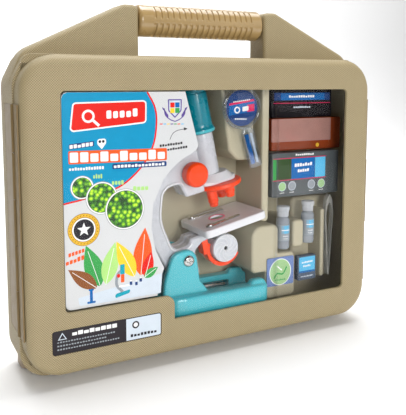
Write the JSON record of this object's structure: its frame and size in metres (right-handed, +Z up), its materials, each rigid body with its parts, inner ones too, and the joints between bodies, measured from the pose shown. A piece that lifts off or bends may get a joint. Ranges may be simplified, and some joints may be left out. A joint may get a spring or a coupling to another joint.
{
  "type": "toy microscope set in a carrying case",
  "caption": "Flat beige carrying case with a bar handle and hinged window lid, holding a child's microscope with tilting arm, rack focus, lens turret and lamp drum, plus slides and vials.",
  "frame": {"origin": "middle of the case's footprint, on the surface that the two feet stand on", "axes": "+X to the right along the case's width as seen from the window side, +Y from the window towards the back, +Z up through the handle"},
  "size_m": [0.3722, 0.078, 0.333],
  "materials": {
    "case_beige": "beige moulded plastic with a fine embossed grain",
    "strap_beige": "smooth beige plastic, slightly greyer than the case",
    "grip_beige": "smooth satin beige plastic",
    "foot_grey": "soft brown-grey foot",
    "tray_beige": "thin vacuum-formed beige sheet",
    "clear_plastic": "clear glossy sheet or moulding",
    "printed_card": "glossy printed card",
    "label": "dark printed label with a white panel",
    "scope_grey": "light grey glossy moulding",
    "teal": "teal glossy moulding",
    "orange": "bright orange glossy moulding",
    "steel": "bright plated steel",
    "mirror": "silvered plastic mirror",
    "dark_box": "dark printed carton",
    "amber": "amber translucent box",
    "pack_grey": "grey-blue printed pack",
    "vial_clear": "clear vial with pale contents and a blue label",
    "paper_blue": "blue and grey printed paper",
    "paper_violet": "violet-blue card with a pale green disc",
    "bulb": "clear lens of a small lamp"
  },
  "bodies": {
    "case": {"rear_shell": "case_beige", "foot_left": "foot_grey", "foot_right": "foot_grey", "handle_grip": "grip_beige", "handle_rod": "steel", "hinge_leaf_rear": "strap_beige", "hinge_pin": "steel", "latch_pin": "steel", "inner_tray": "tray_beige", "clear_blister": "clear_plastic", "scope_base": "teal", "battery_cover": "teal", "battery_front": "steel", "battery_back": "steel", "tilt_screw": "steel", "tilt_nut": "steel", "magnifier_frame": "clear_plastic", "magnifier_lens": "clear_plastic", "slide_box": "dark_box", "specimen_box": "amber", "slide_pack": "pack_grey", "label_box": "paper_blue", "sticker_card": "paper_violet", "vial_1": "vial_clear", "vial_cap_1": "clear_plastic", "vial_2": "vial_clear", "vial_cap_2": "clear_plastic", "tweezers": "steel"},
    "lid": {"lid_frame": "case_beige", "window_film": "clear_plastic", "window_retainer": "tray_beige", "printed_card": "printed_card", "label_plate": "label", "hinge_leaf_lid": "strap_beige"},
    "latch": {"side_latch": "strap_beige"},
    "arm": {"arm_front_half": "scope_grey", "arm_back_half": "scope_grey", "stage": "scope_grey", "stage_bracket": "scope_grey", "lamp_cradle": "orange", "drum_pin": "steel"},
    "clip_front": {"stage_clip_front": "steel"},
    "clip_back": {"stage_clip_back": "steel"},
    "focus_knobs": {"focus_shaft": "steel", "focus_knob_front": "orange", "focus_knob_back": "orange"},
    "tube": {"body_tube": "scope_grey", "focus_rack": "orange", "turret_mount": "scope_grey", "turret_screw": "steel"},
    "eyepiece": {"eyepiece_sleeve": "teal", "eyepiece_cap": "teal", "eye_lens": "clear_plastic"},
    "turret": {"turret_disc": "orange", "objective_high": "orange", "objective_medium": "orange", "objective_low": "orange"},
    "lamp": {"lamp_drum": "scope_grey", "drum_mirror": "mirror", "lamp_bulb": "bulb"}
  },
  "joints": [
    {"name": "lid_hinge", "type": "hinge", "parent": "case", "child": "lid", "pos_m": [-0.1846, -0.0168, 0.144], "axis": [0, 0, -1], "range_deg": [0, 165]},
    {"name": "latch_turn", "type": "hinge", "parent": "case", "child": "latch", "pos_m": [0.1846, 0.015, 0.144], "axis": [0, 0, 1], "range_deg": [0, 60]},
    {"name": "arm_tilt", "type": "hinge", "parent": "case", "child": "arm", "pos_m": [-0.025, 0, 0.0905], "axis": [0, 1, 0], "range_deg": [-30, 0]},
    {"name": "tube_focus", "type": "slide", "parent": "arm", "child": "tube", "axis": [-0.2079, 0, 0.9781], "range_m": [-0.004, 0.012]},
    {"name": "focus_turn", "type": "hinge", "parent": "arm", "child": "focus_knobs", "pos_m": [-0.01659, 0, 0.17356], "axis": [0, 1, 0], "range_deg": [-86.5, 29]},
    {"name": "eyepiece_turn", "type": "hinge", "parent": "tube", "child": "eyepiece", "pos_m": [-0.00241, 0, 0.21798], "axis": [-0.2079, 0, 0.9781], "range_deg": [-60, 60]},
    {"name": "turret_turn", "type": "hinge", "parent": "tube", "child": "turret", "pos_m": [0.02055, 0, 0.15948], "axis": [-0.2079, 0, 0.9781], "continuous": true},
    {"name": "lamp_turn", "type": "hinge", "parent": "arm", "child": "lamp", "pos_m": [0.02212, 0, 0.09489], "axis": [0, 1, 0], "continuous": true},
    {"name": "clip_front_turn", "type": "hinge", "parent": "arm", "child": "clip_front", "pos_m": [-0.00085, -0.02, 0.12119], "axis": [-0.2079, 0, 0.9781], "range_deg": [-18, 15]},
    {"name": "clip_back_turn", "type": "hinge", "parent": "arm", "child": "clip_back", "pos_m": [-0.00085, 0.02, 0.12119], "axis": [-0.2079, 0, 0.9781], "range_deg": [-15, 18]}
  ],
  "couplings": [
    {"joint": "focus_turn", "follows": "tube_focus", "rad_per_m": -125}
  ]
}
